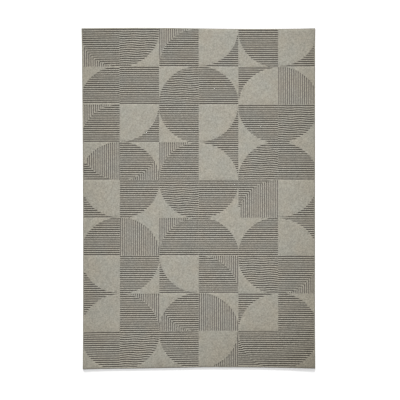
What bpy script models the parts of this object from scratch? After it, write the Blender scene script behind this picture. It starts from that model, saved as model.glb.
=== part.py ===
"""Area rug with a tall cut pile carved by straight grooves, laid out in tiles that arcs divide.

It is built up from the floor as a backing cloth, a latex coat, the ground weave, a short pile and the tall
carved pile. Each edge is whipped with yarn over a cord.

Frame: origin at the centre of the underside, +Y towards the head of the rug, +Z up. Metres.
"""

import math

import bmesh
import bpy
from mathutils.geometry import delaunay_2d_cdt

# Whole rug
RUG_WIDTH = 1.600
RUG_LENGTH = 2.344
RUG_THICK = 0.0120
FIT_GAP = 0.0003  # air between neighbouring pieces

# Layers under the tall pile
BACKING_THICK = 0.0012
LATEX_THICK = 0.0008
WEAVE_THICK = 0.0010
LOW_PILE_THICK = 0.0030

# Whipped edge: a channel of yarn that is open inwards and holds the cord and the edge of the weave
BINDING_WIDTH = 0.0080
BINDING_WALL = BACKING_THICK  # so that its lower lip lies flush with the backing cloth
BINDING_ROUND = 0.0020
BINDING_SHOWS = 0.0045  # strip of it that the tall pile leaves uncovered
CORD_RADIUS = 0.00105
MITRE_TRIM = 0.00025  # taken off each mitred end
ROUND_STEPS = 5
CORD_STEPS = 12
SHARP_ANGLE = math.radians(35)

# Pile pattern
COLUMNS = 6
ROWS = 9
TILE_WIDTH = 0.2725  # the two outer columns are cut short by the edges
TILE_HEIGHT = RUG_LENGTH / ROWS
GRID_SHIFT_X = 0.0022  # the pattern doesn't lie quite in the middle of the rug
GRID_SHIFT_Y = -0.0065
GROOVES_PER_TILE = 18
WIDE_GROOVES_PER_TILE = 17
LENGTHWAYS_GROOVES = 19
LENGTHWAYS_PITCH = 0.0146
GROOVE_WIDTH = 0.0062
GROOVE_FLOOR = 0.0008  # tall pile left under a groove
END_INSET = 0.0012  # uncut pile at the end of a groove
SHORTEST_GROOVE = 0.010
PILE_BEVEL = 0.0015
MERGE_DISTANCE = 1e-7

# One code per tile, from the head of the rug down. The ways to carve are h across, w across and wider apart,
# s across but half a groove lower, and v lengthways; a dot is plain pile. A lone letter is carved all over.
# Otherwise two letters name the tile corner that an arc is struck from, such as br for foot right, and two
# more say what lies inside and outside that arc. A star stands for the second arc, after the plus sign.
PATTERN = (
    "trhv      tlw.      brhv      tl.h  trh.  tl.h",
    "brs.      h         brw.      blh.  br.h  blv.",
    "brhv      tl.h      trh.      tl.h  trh.  tlw.",
    "br*.+trvh bl*.+tlhv brhv      bl.h  brw.  blh.",
    "tr.h      tlh.      trw.      tlh.  brvh  tl.h",
    "brh.      blv.      brhv      blh.  brh.  bl.h",
    "tr.h      tlh.      tr.h      blhv  trw.  tlhv",
    "br.h      blhv      br*.+trhv blv.  br.h  blh.",
    "trh.      tlw.      trh.      tl.v  trhs  tlh.",
)

# Heights worked out from the above
LATEX_BASE = BACKING_THICK + FIT_GAP
WEAVE_BASE = LATEX_BASE + LATEX_THICK + FIT_GAP
LOW_PILE_BASE = WEAVE_BASE + WEAVE_THICK + FIT_GAP
HIGH_PILE_BASE = LOW_PILE_BASE + LOW_PILE_THICK + FIT_GAP
BINDING_THICK = LOW_PILE_BASE + BINDING_WALL
PILE_HALF_WIDTH = RUG_WIDTH / 2 - BINDING_SHOWS
PILE_HALF_LENGTH = RUG_LENGTH / 2 - BINDING_SHOWS
CARVED_HALF = (PILE_HALF_WIDTH - PILE_BEVEL, PILE_HALF_LENGTH - PILE_BEVEL)


def clear_scene():
    for item in list(bpy.data.objects):
        bpy.data.objects.remove(item)


def make_material(name, colour, roughness):
    material = bpy.data.materials.new(name)
    material.use_nodes = True
    shader = material.node_tree.nodes["Principled BSDF"]
    shader.inputs["Base Color"].default_value = (*colour, 1.0)
    shader.inputs["Roughness"].default_value = roughness
    shader.inputs["Metallic"].default_value = 0.0
    return material


def make_node(name, points, faces, material, turn=0.0, base=0.0):
    """Adds one closed solid with its faces outwards, turned about the rug's centre and raised by base."""
    mesh = bpy.data.meshes.new(name)
    mesh.from_pydata(points, [], faces)
    work = bmesh.new()
    work.from_mesh(mesh)
    bmesh.ops.recalc_face_normals(work, faces=work.faces)
    work.to_mesh(mesh)
    work.free()
    mesh.shade_smooth()
    mesh.set_sharp_from_angle(angle=SHARP_ANGLE)
    mesh.materials.append(material)
    node = bpy.data.objects.new(name, mesh)
    node.location.z = base
    node.rotation_euler.z = turn
    bpy.context.collection.objects.link(node)
    return node


def rectangle(half_width, half_length, height):
    return [
        (-half_width, -half_length, height),
        (half_width, -half_length, height),
        (half_width, half_length, height),
        (-half_width, half_length, height),
    ]


def joined_rings(ring_count, ring_size):
    """Quads between rings of ring_size points that follow one another in the list of points."""
    quads = []
    for ring in range(ring_count - 1):
        for corner in range(ring_size):
            after = (corner + 1) % ring_size
            low = ring * ring_size
            high = low + ring_size
            quads.append((low + corner, low + after, high + after, high + corner))
    return quads


def make_layer(name, edge_inset, base, thick, material):
    """Flat sheet over the whole rug, edge_inset short of each side."""
    half_width = RUG_WIDTH / 2 - edge_inset
    half_length = RUG_LENGTH / 2 - edge_inset
    points = rectangle(half_width, half_length, 0.0) + rectangle(half_width, half_length, thick)
    faces = joined_rings(2, 4) + [(3, 2, 1, 0), (4, 5, 6, 7)]
    make_node(name, points, faces, material, base=base)


def make_edge_bar(name, profile, half_across, half_along, turn, material):
    """Runs a profile of (inset from the edge, height) along one side, with both ends mitred."""
    points = []
    for side in (-1, 1):
        for inset, height in profile:
            points.append((inset - half_across, side * (half_along - inset - MITRE_TRIM), height))
    size = len(profile)
    caps = [tuple(range(size)), tuple(range(size, 2 * size))]
    make_node(name, points, joined_rings(2, size) + caps, material, turn)


def arc_points(centre, radius, first, last, steps):
    """Points on a circle between two angles in degrees, both ends included."""
    points = []
    for step in range(steps + 1):
        angle = math.radians(first + (last - first) * step / steps)
        points.append((centre[0] + radius * math.cos(angle), centre[1] + radius * math.sin(angle)))
    return points


def binding_profile():
    """Channel with a rounded outer side, open inwards."""
    lower_round = (BINDING_ROUND, BINDING_ROUND)
    upper_round = (BINDING_ROUND, BINDING_THICK - BINDING_ROUND)
    upper_lip = BINDING_THICK - BINDING_WALL
    outside = arc_points(upper_round, BINDING_ROUND, 90, 180, ROUND_STEPS)
    outside += arc_points(lower_round, BINDING_ROUND, 180, 270, ROUND_STEPS)
    lower = [(BINDING_WIDTH, 0.0), (BINDING_WIDTH, BINDING_WALL), (BINDING_WALL, BINDING_WALL)]
    upper = [(BINDING_WALL, upper_lip), (BINDING_WIDTH, upper_lip), (BINDING_WIDTH, BINDING_THICK)]
    return outside + lower + upper


def cord_profile():
    inset = BINDING_WALL + FIT_GAP + CORD_RADIUS
    height = BINDING_THICK / 2
    return arc_points((inset, height), CORD_RADIUS, 0, 360, CORD_STEPS)[:-1]


def make_edges(binding_material, cord_material):
    """The four whipped edges, each with its cord."""
    sides = (("left", 0), ("foot", 1), ("right", 2), ("head", 3))
    for side, quarter_turns in sides:
        turn = math.radians(90 * quarter_turns)
        across, along = RUG_WIDTH / 2, RUG_LENGTH / 2
        if quarter_turns % 2:
            across, along = along, across
        make_edge_bar("edge_binding_" + side, binding_profile(), across, along, turn, binding_material)
        make_edge_bar("edge_cord_" + side, cord_profile(), across, along, turn, cord_material)


def tile_edges(row, column):
    """Left, right, foot and head of a tile. The outer ones reach past the rug, which cuts them off."""
    left = GRID_SHIFT_X + (column - COLUMNS / 2) * TILE_WIDTH
    head = GRID_SHIFT_Y + RUG_LENGTH / 2 - row * TILE_HEIGHT
    return left, left + TILE_WIDTH, head - TILE_HEIGHT, head


def carved_zones(code):
    """Carved zones of a tile as (way, arcs). Each arc is (its corner, True if the zone lies inside it)."""
    if len(code) == 1:
        return [(code, [])]
    first, _, second = code.partition("+")
    zones = []
    for inside, way in ((True, first[2]), (False, first[3])):
        arc = (first[:2], inside)
        if way == "*":
            zones += [(inner_way, [arc, *arcs]) for inner_way, arcs in carved_zones(second)]
        elif way != ".":
            zones.append((way, [arc]))
    return zones


def groove_places(tile, way):
    """Where the grooves' centre lines lie: y for those that run across, x for those that run lengthways."""
    left, right, foot, head = tile
    if way == "v":
        first = (left + right) / 2 - (LENGTHWAYS_GROOVES - 1) / 2 * LENGTHWAYS_PITCH
        return [first + index * LENGTHWAYS_PITCH for index in range(LENGTHWAYS_GROOVES)]
    count = WIDE_GROOVES_PER_TILE if way == "w" else GROOVES_PER_TILE
    pitch = TILE_HEIGHT / count
    if way == "s":
        return [head - index * pitch for index in range(1, count)]
    return [head - (index + 0.5) * pitch for index in range(count)]


def carved_extent(tile, arcs, along, place):
    """Lowest and highest place of a zone on a line that runs along x (0) or y (1) at that place."""
    left, right, foot, head = tile
    size = (TILE_WIDTH, TILE_HEIGHT)
    low, high = ((left, right), (foot, head))[along]
    middle = (low + high) / 2
    low = max(low, -CARVED_HALF[along])
    high = min(high, CARVED_HALF[along])
    for corner, inside in arcs:
        centre = (left if corner[1] == "l" else right, head if corner[0] == "t" else foot)
        share = (place - centre[1 - along]) / size[1 - along]
        reach = size[along] * math.sqrt(max(1 - share**2, 0.0))
        at_low_end = centre[along] < middle
        arc = centre[along] + reach if at_low_end else centre[along] - reach
        if inside == at_low_end:
            high = min(high, arc)
        else:
            low = max(low, arc)
    return low + END_INSET, high - END_INSET


def zone_grooves(tile, way, arcs):
    """Each groove of a zone as (outline, floor line) in plan. Its ends slant as the arc does."""
    along = 1 if way == "v" else 0
    half = GROOVE_WIDTH / 2
    grooves = []
    for place in groove_places(tile, way):
        if abs(place) > CARVED_HALF[1 - along] - half:
            continue
        near, middle, far = (carved_extent(tile, arcs, along, place + side) for side in (-half, 0.0, half))
        if min(high - low for low, high in (near, middle, far)) < SHORTEST_GROOVE:
            continue
        outline = [(near[0], place - half), (near[1], place - half)]
        outline += [(far[1], place + half), (far[0], place + half)]
        floor = [(middle[0] + half, place), (middle[1] - half, place)]
        if along:
            outline = [(x, y) for y, x in reversed(outline)]
            floor = [(x, y) for y, x in floor]
        grooves.append((outline, floor))
    return grooves


def all_grooves():
    grooves = []
    for row, codes in enumerate(PATTERN):
        for column, code in enumerate(codes.split()):
            tile = tile_edges(row, column)
            for way, arcs in carved_zones(code):
                grooves += zone_grooves(tile, way, arcs)
    return grooves


def groove_faces(ring, floor):
    """Walls of a groove, from the four corners of its outline down to the ends of its floor line."""
    near_low, near_high, far_high, far_low = ring
    floor_low, floor_high = floor
    return [
        (near_low, near_high, floor_high, floor_low),
        (far_high, far_low, floor_low, floor_high),
        (near_high, far_high, floor_high),
        (far_low, near_low, floor_low),
    ]


def make_high_pile(material):
    """Slab of tall pile with a bevelled top edge and a V groove along every centre line."""
    top = RUG_THICK
    floor_height = HIGH_PILE_BASE + GROOVE_FLOOR
    plan = [(x, y) for x, y, _ in rectangle(*CARVED_HALF, top)]
    outlines = []
    floors = []
    for outline, floor in all_grooves():
        outlines.append(list(range(len(plan), len(plan) + len(outline))))
        plan += outline
        floors.append(floor)
    flat, _, triangles, sources, _, cut_from = delaunay_2d_cdt(plan, [], outlines, 0, MERGE_DISTANCE)
    if len(flat) != len(plan):
        raise ValueError("two grooves touch")
    place_of = {inputs[0]: index for index, inputs in enumerate(sources)}
    points = [(x, y, top) for x, y in flat]
    faces = [tuple(corners) for corners, groove in zip(triangles, cut_from) if not groove]
    for outline, floor in zip(outlines, floors):
        ring = [place_of[index] for index in outline]
        faces += groove_faces(ring, (len(points), len(points) + 1))
        points += [(x, y, floor_height) for x, y in floor]
    side_start = len(points)
    points += rectangle(PILE_HALF_WIDTH, PILE_HALF_LENGTH, HIGH_PILE_BASE)
    points += rectangle(PILE_HALF_WIDTH, PILE_HALF_LENGTH, top - PILE_BEVEL)
    for corner in range(4):
        after = (corner + 1) % 4
        low, low_after = side_start + corner, side_start + after
        faces.append((low, low_after, low_after + 4, low + 4))
        faces.append((low + 4, low_after + 4, place_of[after], place_of[corner]))
    faces.append(tuple(side_start + corner for corner in (3, 2, 1, 0)))
    make_node("high_pile", points, faces, material)


def build():
    clear_scene()
    sage = make_material("sage_cut_pile", (0.39, 0.37, 0.31), 0.95)
    taupe = make_material("taupe_low_pile", (0.19, 0.155, 0.125), 0.95)
    jute = make_material("jute_cloth", (0.47, 0.37, 0.24), 0.90)
    weave = make_material("ground_cloth", (0.62, 0.59, 0.52), 0.85)
    latex = make_material("latex", (0.70, 0.68, 0.60), 0.60)
    yarn = make_material("binding_yarn", (0.21, 0.20, 0.135), 0.85)
    cord = make_material("cotton_cord", (0.66, 0.63, 0.55), 0.90)

    make_layer("secondary_backing", BINDING_WIDTH + FIT_GAP, 0.0, BACKING_THICK, jute)
    inside_channel = BINDING_WALL + 2 * CORD_RADIUS + 2 * FIT_GAP
    make_layer("latex_coat", inside_channel, LATEX_BASE, LATEX_THICK, latex)
    make_layer("ground_weave", inside_channel, WEAVE_BASE, WEAVE_THICK, weave)
    make_layer("low_pile", BINDING_WIDTH + FIT_GAP, LOW_PILE_BASE, LOW_PILE_THICK, taupe)
    make_high_pile(sage)
    make_edges(yarn, cord)


build()
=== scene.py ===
"""Looks of a carved cut-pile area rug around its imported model.

The rug is a stack of soft sheets, each made here again as it really lies: the sides bow a little, the
corners lift, and the carved grooves wander slightly. The tall pile is cut right through, so that the darker
low pile shows at the bottom of every groove. Metres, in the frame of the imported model.
"""

import math

import bmesh
import bpy
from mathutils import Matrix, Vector, noise
from mathutils.geometry import delaunay_2d_cdt


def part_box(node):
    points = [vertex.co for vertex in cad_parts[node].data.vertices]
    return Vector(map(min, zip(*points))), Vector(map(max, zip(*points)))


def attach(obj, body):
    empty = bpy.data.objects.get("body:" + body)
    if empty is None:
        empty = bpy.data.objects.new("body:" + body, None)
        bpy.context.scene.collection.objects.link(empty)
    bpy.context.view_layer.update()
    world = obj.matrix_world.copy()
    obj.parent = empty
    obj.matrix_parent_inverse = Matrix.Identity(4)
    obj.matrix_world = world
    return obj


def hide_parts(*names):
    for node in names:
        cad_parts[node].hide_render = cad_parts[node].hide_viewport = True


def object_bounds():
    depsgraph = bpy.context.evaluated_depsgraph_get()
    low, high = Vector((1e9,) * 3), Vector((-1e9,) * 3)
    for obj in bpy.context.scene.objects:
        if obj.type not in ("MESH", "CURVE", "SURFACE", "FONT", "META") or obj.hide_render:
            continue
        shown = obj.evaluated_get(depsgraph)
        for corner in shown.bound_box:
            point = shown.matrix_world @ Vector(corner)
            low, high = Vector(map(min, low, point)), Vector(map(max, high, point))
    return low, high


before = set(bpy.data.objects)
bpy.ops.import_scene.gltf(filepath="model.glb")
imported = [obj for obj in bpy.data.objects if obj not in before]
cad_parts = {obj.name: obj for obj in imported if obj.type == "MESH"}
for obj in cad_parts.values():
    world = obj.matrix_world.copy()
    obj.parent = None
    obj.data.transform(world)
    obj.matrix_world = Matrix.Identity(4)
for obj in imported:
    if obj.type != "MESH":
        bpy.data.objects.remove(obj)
CAD_LOW, CAD_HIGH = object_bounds()

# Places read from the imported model
HALF_WIDTH = CAD_HIGH.x
HALF_LENGTH = CAD_HIGH.y
PILE_LOW, PILE_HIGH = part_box("high_pile")
BINDING_LOW, BINDING_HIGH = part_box("edge_binding_left")
CORD_LOW, CORD_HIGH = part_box("edge_cord_left")

# Carved pattern, as in the model
COLUMNS = 6
ROWS = 9
TILE_WIDTH = 0.2725
TILE_HEIGHT = 2 * HALF_LENGTH / ROWS
GRID_SHIFT_X = 0.0022
GRID_SHIFT_Y = -0.0065
GROOVES_PER_TILE = 18
WIDE_GROOVES_PER_TILE = 17
LENGTHWAYS_GROOVES = 19
LENGTHWAYS_PITCH = 0.0146

# One code per tile, from the head of the rug down. The ways to carve are h across, w across, wider apart and
# wavy, s across but half a groove lower, and v lengthways; a dot is plain pile. A lone letter is carved all
# over. Otherwise two letters name the tile corner that an arc is struck from, such as br for foot right, and
# two more say what lies inside and outside that arc. A star stands for the second arc, after the plus sign.
PATTERN = (
    "trhv      tlw.      brhv      tl.h  trh.  tl.h",
    "brs.      h         brw.      blh.  br.h  blv.",
    "brhv      tl.h      trh.      tl.h  trh.  tlw.",
    "br*.+trvh bl*.+tlhv brhv      bl.h  brw.  blh.",
    "tr.h      tlh.      trw.      tlh.  brvh  tl.h",
    "brh.      blv.      brhv      blh.  brh.  bl.h",
    "tr.h      tlh.      tr.h      blhv  trw.  tlhv",
    "br.h      blhv      br*.+trhv blv.  br.h  blh.",
    "trh.      tlw.      trh.      tl.v  trhs  tlh.",
)

# Wall of a groove, from the flat top of the pile down: (half width of the groove, share of the pile's
# height, how much painted shade darkens it towards the roots)
GROOVE_WALL = (
    (0.0056, 1.0, 0.0),
    (0.0047, 0.965, 0.04),
    (0.0038, 0.88, 0.22),
    (0.0030, 0.62, 0.70),
    (0.0026, 0.0, 1.0),
)
LENGTHWAYS_SHARE = 0.84  # width of a lengthways groove, against one that runs across
# The same for the outer edge of the pile, with the distance inside the pile's side
PILE_EDGE = (
    (0.0012, 1.0, 0.0),
    (0.0006, 0.95, 0.10),
    (0.0002, 0.80, 0.35),
    (0.0, 0.40, 0.7),
    (0.0, 0.0, 1.0),
)
RIM = 0.0003  # pile left between a groove and the rounded outer edge
CARVED_HALF = (PILE_HIGH.x - PILE_EDGE[0][0] - RIM, PILE_HIGH.y - PILE_EDGE[0][0] - RIM)
END_INSET = 0.0005  # uncut pile at the end of a groove
END_SLOPE = 0.15  # how much a groove's end wall leans, against its side walls
END_STEPS = 5  # edges across a groove's end
ARC_OVERRUN = 0.0040  # how far carving runs into a plain field
ARC_GAP = 0.0005  # pile left on either side of an arc that is carved on both
SHORTEST_GROOVE = 0.006
STATION_STEP = 0.065  # between the cross-sections of a groove
WAVY_STATION_STEP = 0.030
PLAIN_STEP = 0.030  # between the points of a plain field
PLAIN_MARGIN = 0.05  # left free of them beside an arc, as a share of its radius
EDGE_MARGIN = 0.006  # and beside the pile's outer edge
MERGE_DISTANCE = 1e-7

# How carved lines stray from true
DRIFT = 0.0007
DRIFT_SCALE = 3.1  # waves of it per metre
OTHER_DRIFT = Vector((0.0, 0.0, 9.0))  # so far off in the noise that the two ways drift apart
WAVE = 0.0028  # of the wavy tiles
WAVE_LENGTH = 0.125
WAVE_SHIFT = 0.35  # part of a wave by which the waves of lines further up or down lie aside
WAVE_SHIFT_RATE = 9.0  # how fast that changes, in radians per metre

# How the rug lies. Along its sides, u runs from -1 at the left to 1 at the right, and v from -1 at the foot
# to 1 at the head.
LEFT_BOW = (0.0029, -0.0042, -0.0048)  # of v to the power 0, 1 and 2
RIGHT_BOW = (0.0054, 0.0005)  # of v to the power 0 and 1
HEAD_SWAY = -0.0036
FOOT_BOW = (0.0042, 0.0110, 0.15)  # furthest in, how fast that falls off, and the u where it is
FOOT_BULGE = (0.0034, -0.42, 0.45)  # how far out, the u where it is, and how far along it reaches
EDGE_FADE = 5  # the higher, the sooner the bow of an edge dies out inwards
RIPPLE = 0.0007
RIPPLE_SCALE = (2.3, 3.7)  # waves of it per metre, across and lengthways
RIPPLE_SLICE = 1.7  # which slice of the noise it follows
CORNER_LIFTS = (  # (side in x, side in y, height, reach along the edges)
    (-1, -1, 0.0030, 0.22),
    (1, -1, 0.0062, 0.42),
    (1, 1, 0.0040, 0.14),
    (-1, 1, 0.0030, 0.16),
)
CORNER_SPREAD = 0.2  # how far a corner moves out, as a share of its lift

# Whipped edge
WRAP_PITCH = 0.0030
WRAP_DEPTH = 0.00035
WRAP_SLANT = 0.0016
WRAP_REACH = 0.6  # share of the edge's width on which single wraps stand out
BINDING_WALL = 0.0012
BINDING_ROUND = 0.0020
MITRE_TRIM = 0.00025
CORD_STRANDS = 3
CORD_TWIST = 0.011  # length of one turn of the strands
CORD_STEPS = 6  # cross-sections in that length
CORD_SIDES = 12
CORD_CORE = 0.80  # radius in the furrows between the strands, as a share of the cord's

SHEET_STEP = 0.040  # between the points of a hidden layer
LOW_PILE_STEP = 0.030

# Look of the pile
PILE_NOISE = ((3.0, 0.06), (16.0, 0.08), (55.0, 0.20), (120.0, 0.85), (1400.0, 0.30))  # (per metre, amount)
TUFT_GAP_SHADE = 0.12  # painted shade: how much darker it is between the tufts
PAINTED_RIM_HIGHLIGHT = 0.26  # painted highlight: how much lighter the slanting tips beside a groove are
HIGHLIGHT_BEGINS = (0.0, 0.08)  # values of the painted root shade between which that highlight comes
HIGHLIGHT_ENDS = (0.5, 0.16)  # and between which it goes
# Painted shade: the pile is darker towards its sides and most of all towards its right foot corner
SIDE_SHADE = 0.11
FOOT_SHADE = 0.33
FOOT_REACH = 1.5  # distance from the middle of the rug at which all of that shade is reached
FOOT_SLANT = 0.35  # how much sooner it is reached on the right, per metre
SHADE_POWER = 4.0  # the higher, the closer to the edge it stays light
WARM_SHADE = 2.2  # how much of the warm tint the painted shade brings
WARM_TINT = (1.0, 0.97, 0.88)

# Picture
PICTURE_WIDTH = 2.757  # of floor, at the height of the pile
PICTURE_CENTRE = (0.011, -0.013)
CAMERA_HEIGHT = 6.0

# Studio
FLOOR_SIZE = 60.0
FLOOR_PAINT = (0.66, 0.45)  # albedo and glow
WALL_PAINT = (0.05, 0.95)
WALL_RADIUS = 28.0
WALL_HEIGHT = 14.0
SKY_STRENGTH = 0.14
SOFTBOX_PLACE = (0.0, 0.55, 2.6)
SOFTBOX_TARGET = (0.0, 0.45, 0.0)
SOFTBOX_SIZE = 1.6
SOFTBOX_POWER = 18.0
SUN_FROM = (-0.4, 4.0, 2.1)
SUN_STRENGTH = 4.15
SUN_ANGLE = 14


# ------------------------------------------------------------------ how the rug lies


def corner_rises(x, y):
    """How far each lifted corner raises a point, as (side in x, height)."""
    rises = []
    for side_x, side_y, lift, reach in CORNER_LIFTS:
        distance = (HALF_WIDTH - side_x * x) + (HALF_LENGTH - side_y * y)
        rises.append((side_x, lift * max(1 - distance / reach, 0.0) ** 2))
    return rises


def side_moves(u, v):
    """How far the left and right sides move in x, and the foot and head in y, beside a point."""
    left = LEFT_BOW[0] + LEFT_BOW[1] * v + LEFT_BOW[2] * v**2
    right = RIGHT_BOW[0] + RIGHT_BOW[1] * v
    furthest_in, fall, middle = FOOT_BOW
    bulge, bulge_at, bulge_reach = FOOT_BULGE
    foot = furthest_in - fall * (u - middle) ** 2
    foot -= bulge * max(1 - ((u - bulge_at) / bulge_reach) ** 2, 0.0)
    head = HEAD_SWAY * math.sin(math.pi * u)
    return left, right, foot, head


def laid(x, y, z):
    """Where a point of the flat, true rug ends up on the floor."""
    u = x / HALF_WIDTH
    v = y / HALF_LENGTH
    left, right, foot, head = side_moves(u, v)
    moved_x = left * ((1 - u) / 2) ** EDGE_FADE + right * ((1 + u) / 2) ** EDGE_FADE
    moved_y = foot * ((1 - v) / 2) ** EDGE_FADE + head * ((1 + v) / 2) ** EDGE_FADE
    at = Vector((x * RIPPLE_SCALE[0], y * RIPPLE_SCALE[1], RIPPLE_SLICE))
    moved_z = RIPPLE * (0.5 + 0.5 * noise.noise(at))
    for side_x, height in corner_rises(x, y):
        moved_x += side_x * CORNER_SPREAD * height
        moved_z += height
    return (x + moved_x, y + moved_y, z + moved_z)


def make_piece(name, points, faces, material, stands_for, painted_shade=None, sharp=50):
    """Adds one closed piece, laid like the rest of the rug, that stands for a node of the model."""
    mesh = bpy.data.meshes.new(name)
    mesh.from_pydata([laid(*point) for point in points], [], faces)
    # Painted shade towards the roots, kept as the point attribute depth
    if painted_shade:
        depth = mesh.attributes.new("depth", "FLOAT", "POINT")
        depth.data.foreach_set("value", painted_shade)
    work = bmesh.new()
    work.from_mesh(mesh)
    bmesh.ops.recalc_face_normals(work, faces=work.faces)
    work.to_mesh(mesh)
    work.free()
    mesh.shade_smooth()
    mesh.set_sharp_from_angle(angle=math.radians(sharp))
    mesh.materials.append(material)
    piece = bpy.data.objects.new(name, mesh)
    bpy.context.collection.objects.link(piece)
    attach(piece, "root")
    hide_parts(stands_for)
    return piece


# ------------------------------------------------------------------ carved grooves


def tile_edges(row, column):
    """Left, right, foot and head of a tile. The outer ones reach past the rug, which cuts them off."""
    left = GRID_SHIFT_X + (column - COLUMNS / 2) * TILE_WIDTH
    head = GRID_SHIFT_Y + HALF_LENGTH - row * TILE_HEIGHT
    return left, left + TILE_WIDTH, head - TILE_HEIGHT, head


def carved_zones(code):
    """Carved zones of a tile as (way, arcs). An arc is (corner, True if the zone is inside it, overrun)."""
    if len(code) == 1:
        return [(code, [])]
    first, _, second = code.partition("+")
    zones = []
    for inside, way in ((True, first[2]), (False, first[3])):
        overrun = ARC_OVERRUN if "." in first else -ARC_GAP
        arc = (first[:2], inside, overrun if inside else -overrun)
        if way == "*":
            zones += [(inner_way, [arc, *arcs]) for inner_way, arcs in carved_zones(second)]
        elif way != ".":
            zones.append((way, [arc]))
    return zones


def groove_places(tile, way):
    """Where the grooves' centre lines lie: y for those that run across, x for those that run lengthways."""
    left, right, foot, head = tile
    if way == "v":
        first = (left + right) / 2 - (LENGTHWAYS_GROOVES - 1) / 2 * LENGTHWAYS_PITCH
        return [first + index * LENGTHWAYS_PITCH for index in range(LENGTHWAYS_GROOVES)]
    count = WIDE_GROOVES_PER_TILE if way == "w" else GROOVES_PER_TILE
    pitch = TILE_HEIGHT / count
    if way == "s":
        return [head - index * pitch for index in range(1, count)]
    return [head - (index + 0.5) * pitch for index in range(count)]


def corner_place(tile, corner):
    """Where a tile's named corner lies, such as br for foot right."""
    left, right, foot, head = tile
    return (left if corner[1] == "l" else right, head if corner[0] == "t" else foot)


def carved_extent(tile, arcs, along, place):
    """Lowest and highest place of a zone on a line that runs along x (0) or y (1) at that place."""
    low, high = (tile[:2], tile[2:])[along]
    middle = (low + high) / 2
    low = max(low, -CARVED_HALF[along])
    high = min(high, CARVED_HALF[along])
    for corner, inside, overrun in arcs:
        size = (TILE_WIDTH + overrun, TILE_HEIGHT + overrun)
        centre = corner_place(tile, corner)
        share = (place - centre[1 - along]) / size[1 - along]
        reach = size[along] * math.sqrt(max(1 - share**2, 0.0))
        at_low_end = centre[along] < middle
        crossing = centre[along] + reach if at_low_end else centre[along] - reach
        if inside == at_low_end:
            high = min(high, crossing)
        else:
            low = max(low, crossing)
    return low + END_INSET, high - END_INSET


def groove_slices(tile, arcs, along, place, half_width):
    """Slices of a groove beside each other, as (low end, high end, place), at one level of its wall."""
    inset = END_SLOPE * (GROOVE_WALL[0][0] - half_width)
    slices = []
    for step in range(END_STEPS + 1):
        across = place + half_width * (2 * step / END_STEPS - 1)
        low, high = carved_extent(tile, arcs, along, across)
        slices.append((low + inset, high - inset, across))
    return slices


def groove_ring(slices, steps):
    """Points round a groove, anticlockwise if it runs across."""
    low, high, place = slices[0]
    ring = [(low + (high - low) * step / steps, place) for step in range(steps)]
    ring += [(high_end, across) for _, high_end, across in slices[:-1]]
    low, high, place = slices[-1]
    ring += [(high + (low - high) * step / steps, place) for step in range(steps)]
    ring += [(low_end, across) for low_end, _, across in reversed(slices[1:])]
    return ring


def drift(x, y, tile, way):
    """Moves a carved line a little off its true place."""
    at = Vector((x * DRIFT_SCALE, y * DRIFT_SCALE, 0.0))
    moved_x = DRIFT * noise.noise(at)
    moved_y = DRIFT * noise.noise(at + OTHER_DRIFT)
    if way == "w":
        up_tile = min(max((y - tile[2]) / TILE_HEIGHT, 0.0), 1.0)
        strength = math.sin(math.pi * up_tile) ** 0.5  # none at the tile's foot and head
        turns = x / WAVE_LENGTH + WAVE_SHIFT * math.sin(WAVE_SHIFT_RATE * y)
        moved_y += WAVE * strength * math.sin(2 * math.pi * turns)
    return x + moved_x, y + moved_y


def zone_grooves(tile, way, arcs):
    """Each groove of a zone, as its rings of plan points at the levels of its wall."""
    along = 1 if way == "v" else 0
    scale = LENGTHWAYS_SHARE if along else 1.0
    grooves = []
    for place in groove_places(tile, way):
        if abs(place) > CARVED_HALF[1 - along] - GROOVE_WALL[0][0] * scale:
            continue
        levels = [
            groove_slices(tile, arcs, along, place, half_width * scale) for half_width, _, _ in GROOVE_WALL
        ]
        lengths = [high - low for low, high, _ in levels[0]]
        if min(lengths) < SHORTEST_GROOVE:
            continue
        station_step = WAVY_STATION_STEP if way == "w" else STATION_STEP
        steps = max(1, round(max(lengths) / station_step))
        rings = [groove_ring(slices, steps) for slices in levels]
        if along:
            rings = [[(x, y) for y, x in reversed(ring)] for ring in rings]
        grooves.append([[drift(x, y, tile, way) for x, y in ring] for ring in rings])
    return grooves


def all_tiles():
    """Every tile, as (its edges, its code)."""
    tiles = []
    for row in range(ROWS):
        for column, code in enumerate(PATTERN[row].split()):
            tiles.append((tile_edges(row, column), code))
    return tiles


def all_grooves():
    grooves = []
    for tile, code in all_tiles():
        for way, arcs in carved_zones(code):
            grooves += zone_grooves(tile, way, arcs)
    return grooves


def plain_points():
    """Points spread over the uncarved fields, so that they can follow the way the rug lies."""
    points = []
    for tile, code in all_tiles():
        if "." not in code:
            continue
        centre_x, centre_y = corner_place(tile, code[:2])
        for step_x in range(1, round(TILE_WIDTH / PLAIN_STEP)):
            for step_y in range(1, round(TILE_HEIGHT / PLAIN_STEP)):
                x = tile[0] + step_x * PLAIN_STEP
                y = tile[2] + step_y * PLAIN_STEP
                outside = math.hypot((x - centre_x) / TILE_WIDTH, (y - centre_y) / TILE_HEIGHT) - 1
                if (-outside if code[2] == "." else outside) < PLAIN_MARGIN:
                    continue
                if abs(x) < PILE_HIGH.x - EDGE_MARGIN and abs(y) < PILE_HIGH.y - EDGE_MARGIN:
                    points.append((x, y))
    return points


def border(inset):
    """Points round the pile, anticlockwise from its left foot corner."""
    half_x = PILE_HIGH.x - inset
    half_y = PILE_HIGH.y - inset
    across = round(2 * PILE_HIGH.x / STATION_STEP)
    down = round(2 * PILE_HIGH.y / STATION_STEP)
    corners = [(-half_x, -half_y), (half_x, -half_y), (half_x, half_y), (-half_x, half_y)]
    points = []
    for side, steps in enumerate((across, down, across, down)):
        start = corners[side]
        end = corners[(side + 1) % 4]
        for step in range(steps):
            share = step / steps
            points.append(tuple(a + (b - a) * share for a, b in zip(start, end)))
    return points


def pile_height(share):
    """Height of a point that lies at a share of the pile's height above its foot."""
    return PILE_LOW.z + (PILE_HIGH.z - PILE_LOW.z) * share


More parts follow.
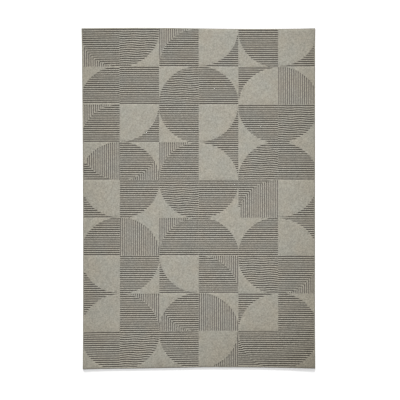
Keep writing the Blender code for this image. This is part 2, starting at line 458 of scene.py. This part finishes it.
def make_tall_pile(material):
    """Carved pile: a flat top with soft-shouldered grooves cut right through it."""
    plan, *edge_rings = [border(inset) for inset, _, _ in PILE_EDGE]
    walls = [(range(len(plan)), edge_rings, PILE_EDGE[1:])]
    plan += plain_points()
    for top, *rings in all_grooves():
        walls.append((list(range(len(plan), len(plan) + len(top))), rings, GROOVE_WALL[1:]))
        plan += top
    outlines = [outline for outline, _, _ in walls[1:]]
    flat, _, triangles, sources, _, cut_from = delaunay_2d_cdt(plan, [], outlines, 0, MERGE_DISTANCE)
    if len(flat) != len(plan):
        raise ValueError("two grooves touch")
    place_of = {inputs[0]: index for index, inputs in enumerate(sources)}
    points = [(x, y, PILE_HIGH.z) for x, y in flat]
    # Painted shade: 0 on the flat top, growing to 1 at the roots
    painted_shade = [0.0] * len(points)
    faces = []
    foot_of = {}  # the point at the foot of the pile under each point of its top
    for outline, rings, levels in walls:
        top_ring = [place_of[index] for index in outline]
        above = top_ring
        for ring, (_, share, ring_shade) in zip(rings, levels):
            below = list(range(len(points), len(points) + len(ring)))
            points += [(x, y, pile_height(share)) for x, y in ring]
            painted_shade += [ring_shade] * len(ring)
            for corner in range(len(ring)):
                after = (corner + 1) % len(ring)
                faces.append((above[corner], above[after], below[after], below[corner]))
            above = below
        foot_of.update(zip(top_ring, above))
    for index in range(len(flat)):
        if index not in foot_of:
            foot_of[index] = len(points)
            points.append((*flat[index], PILE_LOW.z))
            painted_shade.append(1.0)
    for corners, groove in zip(triangles, cut_from):
        if not groove:
            faces.append(tuple(corners))
            faces.append(tuple(foot_of[index] for index in reversed(corners)))
    return make_piece("carved_pile", points, faces, material, "high_pile", painted_shade)


# ------------------------------------------------------------------ sheets, edges and cords


def make_sheet(name, node, material, step):
    """One closed sheet over the node's box, with enough points to lie like the rest."""
    low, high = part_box(node)
    across = round((high.x - low.x) / step)
    down = round((high.y - low.y) / step)
    points = []
    for height in (low.z, high.z):
        for row in range(down + 1):
            for column in range(across + 1):
                x = low.x + (high.x - low.x) * column / across
                y = low.y + (high.y - low.y) * row / down
                points.append((x, y, height))
    width = across + 1
    layer = width * (down + 1)
    faces = []
    for row in range(down):
        for column in range(across):
            corner = row * width + column
            quad = (corner, corner + 1, corner + width + 1, corner + width)
            faces.append(quad[::-1])
            faces.append(tuple(index + layer for index in quad))
    rim = list(range(across)) + [row * width + across for row in range(down)]
    rim += [down * width + column for column in range(across, 0, -1)]
    rim += [row * width for row in range(down, 0, -1)]
    for index, corner in enumerate(rim):
        after = rim[(index + 1) % len(rim)]
        faces.append((corner, after, after + layer, corner + layer))
    return make_piece(name, points, faces, material, node)


def arc_points(centre, radius, first, last, steps):
    """Points on a circle between two angles in degrees, both ends included."""
    points = []
    for step in range(steps + 1):
        angle = math.radians(first + (last - first) * step / steps)
        points.append((centre[0] + radius * math.cos(angle), centre[1] + radius * math.sin(angle)))
    return points


def wrap_profile():
    """Channel of the whipping as (distance in from the edge, height, share of a wrap's roundness shown)."""
    thick = BINDING_HIGH.z
    width = BINDING_HIGH.x - BINDING_LOW.x
    outside = arc_points((BINDING_ROUND, thick - BINDING_ROUND), BINDING_ROUND, 90, 180, 3)
    outside += arc_points((BINDING_ROUND, BINDING_ROUND), BINDING_ROUND, 180, 270, 3)
    wrapped = [(width * WRAP_REACH, thick), *outside]
    plain = [(width * WRAP_REACH, 0.0), (width, 0.0), (width, BINDING_WALL), (BINDING_WALL, BINDING_WALL)]
    plain += [(BINDING_WALL, thick - BINDING_WALL), (width, thick - BINDING_WALL), (width, thick)]
    return [(*point, 1.0) for point in wrapped] + [(*point, 0.0) for point in plain]


def turned(x, y, quarter_turns):
    """A point turned about the middle of the rug."""
    for _ in range(quarter_turns):
        x, y = -y, x
    return x, y


def make_bar(name, node, material, side_place, profile_at, length_step):
    """Sweeps a profile along one side of the rug, with mitred ends. profile_at gives it at a step along.

    The side is (half its length, its distance from the middle, quarter turns from the left side).
    """
    half_along, half_across, quarter_turns = side_place
    steps = round(2 * half_along / length_step)
    points = []
    for step in range(steps + 1):
        for inset, height, slant in profile_at(step):
            end = half_along - inset - MITRE_TRIM
            along = -end + 2 * end * step / steps
            along = min(max(along + slant, -end), end) if 0 < step < steps else along
            x, y = turned(inset - half_across, along, quarter_turns)
            points.append((x, y, height))
    size = len(points) // (steps + 1)
    faces = []
    for step in range(steps):
        low = step * size
        for corner in range(size):
            after = (corner + 1) % size
            faces.append((low + corner, low + after, low + size + after, low + size + corner))
    faces += [tuple(range(size)), tuple(range(steps * size, (steps + 1) * size))]
    return make_piece(name, points, faces, material, node, sharp=70)


def make_binding(side, side_place, material):
    """Whipping yarn round one edge, wrap beside wrap, each a little slanted."""
    profile = wrap_profile()
    middle = BINDING_HIGH.z / 2

    def profile_at(step):
        ring = []
        for inset, height, shown in profile:
            pressed = WRAP_DEPTH * shown * (step % 2)
            flatness = min(inset / BINDING_ROUND, 1.0)  # 0 on the outer face, 1 on the flat top
            inwards = 1 if height < middle else -1
            lean = WRAP_SLANT * (height - middle) / BINDING_HIGH.z
            ring.append((inset + pressed * (1 - flatness), height + pressed * inwards * flatness, lean))
        return ring

    name = "whipped_edge_" + side
    node = "edge_binding_" + side
    return make_bar(name, node, material, side_place, profile_at, WRAP_PITCH / 2)


def make_cord(side, side_place, material):
    """Twisted cord inside the whipping."""
    radius = (CORD_HIGH.x - CORD_LOW.x) / 2
    centre = (CORD_LOW.x + radius + HALF_WIDTH, (CORD_LOW.z + CORD_HIGH.z) / 2)

    def profile_at(step):
        ring = []
        turn = 2 * math.pi * step / CORD_STEPS
        for corner in range(CORD_SIDES):
            angle = 2 * math.pi * corner / CORD_SIDES
            strand = 0.5 + 0.5 * math.cos(CORD_STRANDS * (angle - turn))
            reach = radius * (CORD_CORE + (1 - CORD_CORE) * strand)
            ring.append((centre[0] + reach * math.cos(angle), centre[1] + reach * math.sin(angle), 0.0))
        return ring

    name = "twisted_cord_" + side
    node = "edge_cord_" + side
    return make_bar(name, node, material, side_place, profile_at, CORD_TWIST / CORD_STEPS)


# ------------------------------------------------------------------ materials


def feed(tree, socket, value):
    """Sets an input to a value, or links another node's output to it."""
    if isinstance(value, bpy.types.NodeSocket):
        tree.links.new(value, socket)
    else:
        socket.default_value = value


def add_node(tree, kind, settings=(), **values):
    """Adds a shader node, with its settings and with a value or an output for each named input."""
    made = tree.nodes.new("ShaderNode" + kind)
    for name, setting in dict(settings).items():
        setattr(made, name, setting)
    for name, value in values.items():
        feed(tree, made.inputs[name.replace("_", " ")], value)
    return made


def maths(tree, operation, first, second=0.0):
    """Result of a calculation with one or two values, which are numbers or outputs."""
    made = add_node(tree, "Math", {"operation": operation})
    feed(tree, made.inputs[0], first)
    feed(tree, made.inputs[1], second)
    return made.outputs[0]


def plus(tree, total, value, amount):
    """A total plus a value times an amount."""
    return maths(tree, "ADD", total, maths(tree, "MULTIPLY", value, amount))


def mixed(tree, share, first, second):
    """Colour between two colours, which are linear RGB values or outputs."""
    made = add_node(tree, "Mix", {"data_type": "RGBA"})
    feed(tree, made.inputs[0], share)
    for socket, colour in ((made.inputs[6], first), (made.inputs[7], second)):
        feed(tree, socket, colour if isinstance(colour, bpy.types.NodeSocket) else (*colour, 1.0))
    return made.outputs[2]


def brightened(tree, colour, factor):
    """A colour times a number."""
    return add_node(tree, "VectorMath", {"operation": "SCALE"}, Vector=colour, Scale=factor).outputs[0]


def ramp(tree, value, start, end):
    """Grows from 0 to 1 as a value goes from start to end."""
    return add_node(tree, "MapRange", Value=value, From_Min=start, From_Max=end).outputs[0]


def noise_at(tree, where, scale, detail=2.0):
    return add_node(tree, "TexNoise", Vector=where, Scale=scale, Detail=detail).outputs[0]


def start_material(name):
    """A new node material: (material, node tree, its shader, object coordinates)."""
    material = bpy.data.materials.new(name)
    material.use_nodes = True
    tree = material.node_tree
    shader = tree.nodes["Principled BSDF"]
    where = tree.nodes.new("ShaderNodeTexCoord").outputs["Object"]
    return material, tree, shader, where


def varied(tree, where, amounts):
    """1 on average, with noise of each (scale per metre, amount) added."""
    total = 1.0
    for scale, amount in amounts:
        wave = maths(tree, "SUBTRACT", noise_at(tree, where, scale), 0.5)
        total = plus(tree, total, wave, amount)
    return total


def finish_shader(tree, shader, colour, roughness, height, depth, sheen=0.0):
    tree.links.new(colour, shader.inputs["Base Color"])
    tree.links.new(roughness, shader.inputs["Roughness"])
    shader.inputs["Sheen Weight"].default_value = sheen
    shader.inputs["Sheen Roughness"].default_value = 0.6
    shader.inputs["Specular IOR Level"].default_value = 0.25
    bump = add_node(tree, "Bump", Height=height, Strength=0.8, Distance=depth)
    tree.links.new(bump.outputs[0], shader.inputs["Normal"])


def edge_shade(tree, where):
    """Painted shade that grows towards the sides and the right foot corner."""
    across, up, _ = add_node(tree, "SeparateXYZ", Vector=where).outputs
    aside = maths(tree, "DIVIDE", maths(tree, "ABSOLUTE", across), HALF_WIDTH)
    slanting = maths(tree, "SUBTRACT", maths(tree, "MULTIPLY", across, FOOT_SLANT), up)
    footwards = maths(tree, "DIVIDE", maths(tree, "MAXIMUM", slanting), FOOT_REACH)
    side = maths(tree, "MULTIPLY", maths(tree, "POWER", aside, SHADE_POWER), SIDE_SHADE)
    return plus(tree, side, maths(tree, "POWER", footwards, SHADE_POWER), FOOT_SHADE)


def pile_material(name, cool, warm, root, tuft, mottle):
    """Cut pile: tufts of fibre, faint mottling where the pile leans, and painted shade at the roots."""
    material, tree, shader, where = start_material(name)
    lean = noise_at(tree, where, 7.0, 3.0)
    tip = mixed(tree, ramp(tree, lean, 0.35, 0.65), cool, warm)
    # Painted shade towards the sides and the right foot corner, which also warms the tint
    shade = edge_shade(tree, where)
    painted_shade_tint = [part * tint for part, tint in zip(warm, WARM_TINT)]
    tip = mixed(tree, maths(tree, "MULTIPLY", shade, WARM_SHADE), tip, painted_shade_tint)
    cells = add_node(tree, "TexVoronoi", Vector=where, Scale=1 / tuft)
    # depth carries the painted shade towards the roots, which mixes in the darker root colour
    depth = add_node(tree, "Attribute", {"attribute_name": "depth"}).outputs["Fac"]
    colour = mixed(tree, depth, tip, root)
    tuft_tone = add_node(tree, "SeparateColor", Color=cells.outputs["Color"]).outputs[0]
    light = varied(tree, where, PILE_NOISE)
    # Painted highlight on the slanting tips just below the flat top, beside a groove
    rim = maths(tree, "MULTIPLY", ramp(tree, depth, *HIGHLIGHT_BEGINS), ramp(tree, depth, *HIGHLIGHT_ENDS))
    light = plus(tree, light, rim, PAINTED_RIM_HIGHLIGHT)
    light = plus(tree, light, maths(tree, "SUBTRACT", tuft_tone, 0.5), mottle)
    # Painted shade between the tufts
    light = plus(tree, light, cells.outputs["Distance"], -TUFT_GAP_SHADE)
    light = maths(tree, "SUBTRACT", light, shade)
    colour = brightened(tree, colour, light)
    roughness = plus(tree, 0.86, tuft_tone, 0.12)
    fibres = maths(tree, "MULTIPLY", noise_at(tree, where, 1400.0, 3.0), 0.5)
    height = maths(tree, "SUBTRACT", fibres, cells.outputs["Distance"])
    finish_shader(tree, shader, colour, roughness, height, 0.0008, sheen=0.12)
    return material


def woven_material(name, warp_colour, weft_colour, thread, roughness_low):
    """Plain weave: two sets of threads that pass over and under each other, with slubs and painted shade
    between the threads.
    """
    material, tree, shader, where = start_material(name)
    place = add_node(tree, "SeparateXYZ", Vector=where)
    turns = [maths(tree, "MULTIPLY", place.outputs[axis], math.pi / thread) for axis in (0, 1)]
    waves = [maths(tree, "SINE", turn) for turn in turns]
    checks = maths(tree, "MULTIPLY", *waves)
    colour = mixed(tree, ramp(tree, checks, -0.15, 0.15), warp_colour, weft_colour)
    ridges = maths(tree, "ABSOLUTE", checks)
    light = varied(tree, where, ((5.0, 0.10), (90.0, 0.22), (900.0, 0.25)))
    # Painted shade where the threads dip between one another
    light = plus(tree, light, maths(tree, "SUBTRACT", 1.0, ridges), -0.35)
    colour = brightened(tree, colour, light)
    slubs = noise_at(tree, where, 300.0)
    roughness = plus(tree, roughness_low, slubs, 0.15)
    height = plus(tree, ridges, slubs, 0.4)
    finish_shader(tree, shader, colour, roughness, height, thread / 3)
    return material


def latex_material():
    """Dried latex with trowel marks and small bubbles."""
    material, tree, shader, where = start_material("latex")
    bubbles = add_node(tree, "TexVoronoi", Vector=where, Scale=240.0).outputs["Distance"]
    light = varied(tree, where, ((4.0, 0.12), (60.0, 0.14), (500.0, 0.08)))
    pale = mixed(tree, noise_at(tree, where, 9.0), (0.72, 0.70, 0.61), (0.62, 0.58, 0.46))
    roughness = plus(tree, 0.45, bubbles, 0.3)
    height = maths(tree, "ADD", bubbles, noise_at(tree, where, 60.0))
    finish_shader(tree, shader, brightened(tree, pale, light), roughness, height, 0.0004)
    return material


def yarn_material(name, base, shade, pitch, roughness_low):
    """Twisted yarn: a fine slanting twist with painted shade in its furrows, fibre noise and a slightly
    uneven dye.
    """
    material, tree, shader, where = start_material(name)
    x, y, z = add_node(tree, "SeparateXYZ", Vector=where).outputs
    run = maths(tree, "ADD", maths(tree, "ADD", x, y), z)
    twist = maths(tree, "SINE", maths(tree, "MULTIPLY", run, 2 * math.pi / pitch))
    # The furrows of the twist get the darker shade colour: painted shade
    colour = mixed(tree, ramp(tree, twist, -1.0, 1.0), shade, base)
    colour = brightened(tree, colour, varied(tree, where, ((6.0, 0.16), (70.0, 0.20), (1200.0, 0.35))))
    fibres = noise_at(tree, where, 1200.0, 3.0)
    roughness = plus(tree, roughness_low, fibres, 0.2)
    height = plus(tree, fibres, twist, 0.5)
    finish_shader(tree, shader, colour, roughness, height, 0.0003, sheen=0.1)
    return material


# ------------------------------------------------------------------ rug


def build_rug():
    """Makes every piece; each sheet takes the place of its node in the model."""
    sage = pile_material(
        "sage_cut_pile",
        cool=(0.353, 0.343, 0.296),
        warm=(0.366, 0.340, 0.281),
        # root is the colour of the painted shade at the foot of the tufts
        root=(0.156, 0.140, 0.127),
        tuft=0.0026,
        mottle=0.16,
    )
    taupe = pile_material(
        "taupe_low_pile",
        cool=(0.156, 0.140, 0.131),
        warm=(0.166, 0.144, 0.130),
        # root is the colour of the painted shade at the foot of the tufts
        root=(0.10, 0.08, 0.07),
        tuft=0.0022,
        mottle=0.25,
    )
    jute = woven_material("jute_cloth", (0.47, 0.37, 0.24), (0.40, 0.30, 0.18), 0.0034, 0.78)
    ground = woven_material("ground_cloth", (0.62, 0.59, 0.52), (0.52, 0.49, 0.42), 0.0018, 0.75)
    yarn = yarn_material("binding_yarn", (0.185, 0.172, 0.118), (0.105, 0.096, 0.066), 0.0011, 0.72)
    cotton = yarn_material("cotton_cord", (0.66, 0.63, 0.55), (0.45, 0.42, 0.35), 0.0009, 0.75)

    backing = make_sheet("jute_backing", "secondary_backing", jute, SHEET_STEP)
    coat = make_sheet("dried_latex", "latex_coat", latex_material(), SHEET_STEP)
    weave = make_sheet("tufting_cloth", "ground_weave", ground, SHEET_STEP)
    low_pile = make_sheet("groove_pile", "low_pile", taupe, LOW_PILE_STEP)
    pile = make_tall_pile(sage)
    for quarter_turns, side in enumerate(("left", "foot", "right", "head")):
        half_along = HALF_WIDTH if side in ("foot", "head") else HALF_LENGTH
        half_across = HALF_LENGTH if side in ("foot", "head") else HALF_WIDTH
        side_place = (half_along, half_across, quarter_turns)
        make_binding(side, side_place, yarn)
        make_cord(side, side_place, cotton)


# ------------------------------------------------------------------ studio


def add_light(name, kind, strength, place, target):
    """Adds a lamp that shines at a target, and returns its settings."""
    lamp = bpy.data.lights.new(name, kind)
    lamp.energy = strength
    light = bpy.data.objects.new(name, lamp)
    bpy.context.collection.objects.link(light)
    light.location = place
    light.rotation_euler = (Vector(target) - light.location).to_track_quat("-Z", "Y").to_euler()
    return lamp


def studio_paint(name, albedo, glow):
    """White paint with a faint unevenness. Its glow keeps it white on all sides."""
    paint, tree, shader, where = start_material(name)
    even = mixed(tree, noise_at(tree, where, 0.5), (albedo * 0.99,) * 3, (albedo,) * 3)
    tree.links.new(even, shader.inputs["Base Color"])
    shader.inputs["Roughness"].default_value = 0.9
    shader.inputs["Specular IOR Level"].default_value = 0.1
    shader.inputs["Emission Color"].default_value = (1.0, 1.0, 1.0, 1.0)
    shader.inputs["Emission Strength"].default_value = glow
    paint.cycles.emission_sampling = "NONE"
    return paint


def build_floor():
    bpy.ops.mesh.primitive_plane_add(size=FLOOR_SIZE)
    floor = bpy.context.object
    floor.name = "floor"
    floor.data.materials.append(studio_paint("studio_floor", *FLOOR_PAINT))


def build_wall():
    """White wall all round, far off, that lets the light of the lamps through."""
    bpy.ops.mesh.primitive_cylinder_add(
        vertices=96,
        radius=WALL_RADIUS,
        depth=WALL_HEIGHT,
        end_fill_type="NOTHING",
        location=(0.0, 0.0, WALL_HEIGHT / 2),
    )
    wall = bpy.context.object
    wall.name = "studio_wall"
    wall.data.materials.append(studio_paint("studio_wall", *WALL_PAINT))
    wall.visible_shadow = False


def build_lights():
    """Faint light from all round, a softbox above the head half, and a low sun from beyond the head."""
    world = bpy.data.worlds.new("studio")
    bpy.context.scene.world = world
    world.use_nodes = True
    sky = world.node_tree.nodes["Background"]
    sky.inputs["Color"].default_value = (1.0, 1.0, 1.0, 1.0)
    sky.inputs["Strength"].default_value = SKY_STRENGTH

    softbox = add_light("top_softbox", "AREA", SOFTBOX_POWER, SOFTBOX_PLACE, SOFTBOX_TARGET)
    softbox.size = SOFTBOX_SIZE
    sun = add_light("window_side", "SUN", SUN_STRENGTH, SUN_FROM, (0.0, 0.0, 0.0))
    sun.angle = math.radians(SUN_ANGLE)


def build_camera():
    """Camera straight above the rug, with the head of the rug up."""
    data = bpy.data.cameras.new("camera")
    camera = bpy.data.objects.new("camera", data)
    bpy.context.collection.objects.link(camera)
    camera.location = (*PICTURE_CENTRE, PILE_HIGH.z + CAMERA_HEIGHT)
    data.lens = data.sensor_width * CAMERA_HEIGHT / PICTURE_WIDTH
    bpy.context.scene.camera = camera
    bpy.context.scene.view_settings.view_transform = "Standard"


build_floor()
build_wall()
build_lights()
build_camera()
build_rug()
